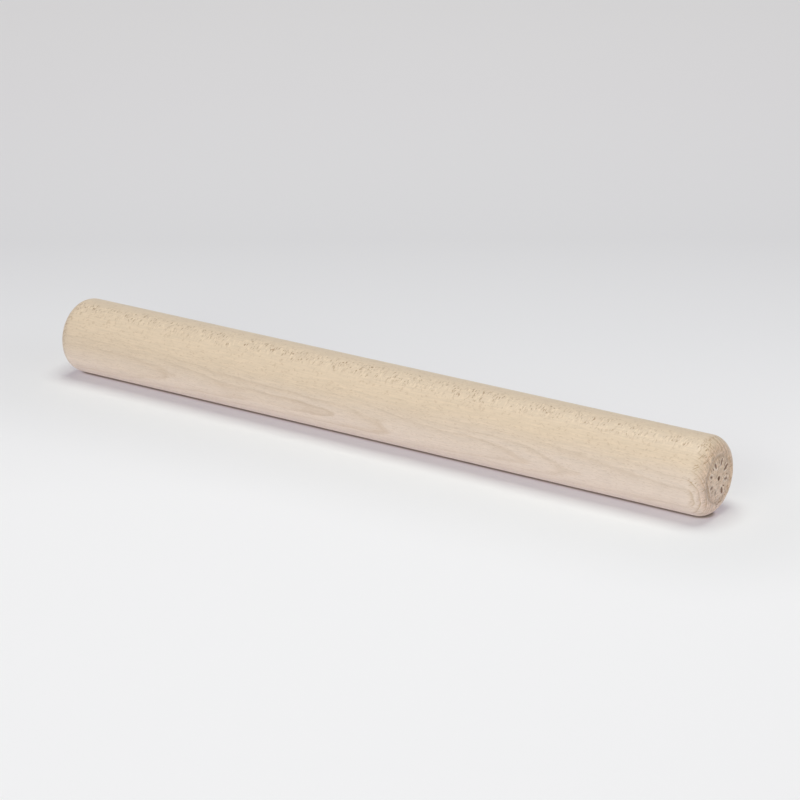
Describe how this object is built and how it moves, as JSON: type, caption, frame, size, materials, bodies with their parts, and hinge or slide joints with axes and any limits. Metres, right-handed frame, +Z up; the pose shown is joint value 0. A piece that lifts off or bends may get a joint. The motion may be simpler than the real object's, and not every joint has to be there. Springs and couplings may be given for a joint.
{
  "type": "french rolling pin",
  "caption": "Straight wooden rolling pin without handles: a solid turned cylinder whose ends are rounded over and flat in the middle.",
  "frame": {"origin": "on the surface that the pin lies on, under the middle of its length, where its barrel touches that surface", "axes": "+X along the pin towards the end with the pressed mark, +Z up, +Y across the pin"},
  "size_m": [0.5, 0.0508, 0.051],
  "materials": {
    "beech": "satin"
  },
  "bodies": {
    "root": {"rolling_pin": "beech"}
  },
  "joints": []
}
